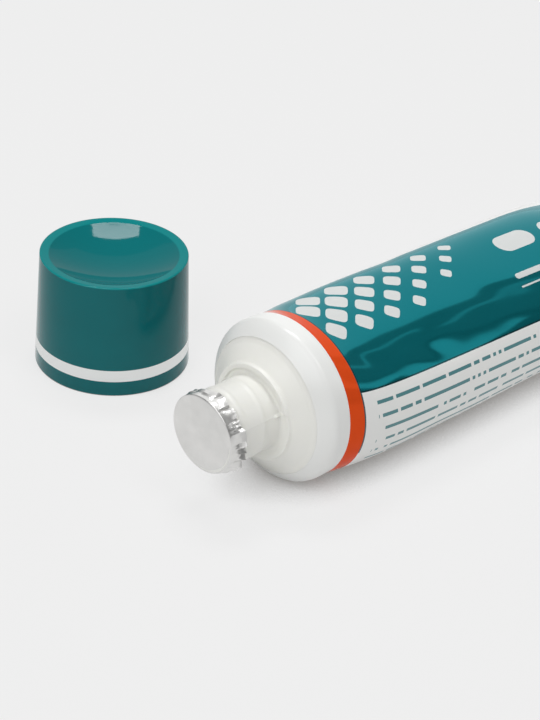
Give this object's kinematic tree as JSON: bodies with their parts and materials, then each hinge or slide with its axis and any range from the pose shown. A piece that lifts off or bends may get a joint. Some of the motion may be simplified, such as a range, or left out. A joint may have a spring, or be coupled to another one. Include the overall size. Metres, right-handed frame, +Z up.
{
  "type": "acne cream tube",
  "caption": "Laminate cream tube lying on its side with a foil-sealed neck, its dished screw cap taken off and stood on its mouth beside it.",
  "frame": {"origin": "on the surface that the tube and its cap rest on, at the middle of the box round both", "axes": "+X along the tube from its neck to its crimped tail, +Z up, and the cap stands on the +Y side"},
  "size_m": [0.1208, 0.0712, 0.025],
  "materials": {
    "printed_laminate": "glossy metallised print",
    "white_moulding": "satin moulded",
    "foil": "crinkled foil",
    "cap_plastic": "glossy moulded"
  },
  "bodies": {
    "root": {"filled_sleeve": "printed_laminate", "shoulder_neck": "white_moulding", "foil_seal": "foil", "cap": "cap_plastic"}
  },
  "joints": []
}
